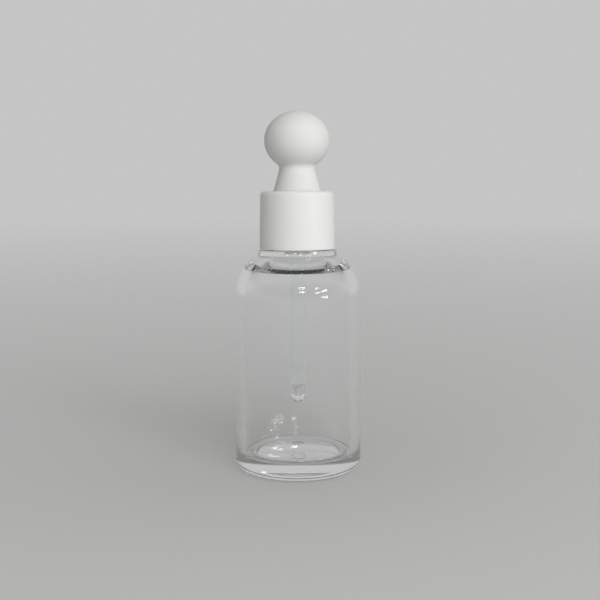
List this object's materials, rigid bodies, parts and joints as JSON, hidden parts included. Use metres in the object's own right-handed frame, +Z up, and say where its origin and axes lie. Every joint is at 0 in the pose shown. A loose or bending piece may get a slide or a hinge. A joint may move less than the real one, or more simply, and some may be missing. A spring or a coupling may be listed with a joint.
{
  "type": "dropper bottle",
  "caption": "Clear heavy-walled round bottle with a white screw collar, a white ball-shaped rubber bulb and a glass pipette with a ball tip.",
  "frame": {"origin": "centre of the bottle's standing ring, on the surface it stands on", "axes": "+Z up along the bottle's axis, towards the bulb; -Y faces the picture's camera"},
  "size_m": [0.04, 0.04, 0.1127],
  "materials": {
    "clear_petg": "clear, polished, thick-walled PETG",
    "natural_polyethylene": "natural milky low-density polyethylene",
    "clear_glass": "clear drawn borosilicate tube",
    "white_silicone": "matt white silicone",
    "white_polypropylene": "smooth satin white polypropylene"
  },
  "bodies": {
    "bottle": {"bottle": "clear_petg", "wiper": "natural_polyethylene"},
    "dropper": {"pipette": "clear_glass"},
    "bulb": {"bulb": "white_silicone"},
    "collar": {"collar": "white_polypropylene"}
  },
  "joints": [
    {"name": "dropper_lift", "type": "slide", "parent": "bottle", "child": "dropper", "axis": [0, 0, 1], "range_m": [0, 0.075]},
    {"name": "collar_turn", "type": "hinge", "parent": "dropper", "child": "collar", "pos_m": [0, 0, 0.0787], "axis": [0, 0, 1], "range_deg": [0, 540]},
    {"name": "bulb_press", "type": "slide", "parent": "dropper", "child": "bulb", "axis": [0, 0, -1], "range_m": [0, 0.005], "stiffness_N_per_m": 500, "deforming": ["bulb"]}
  ]
}
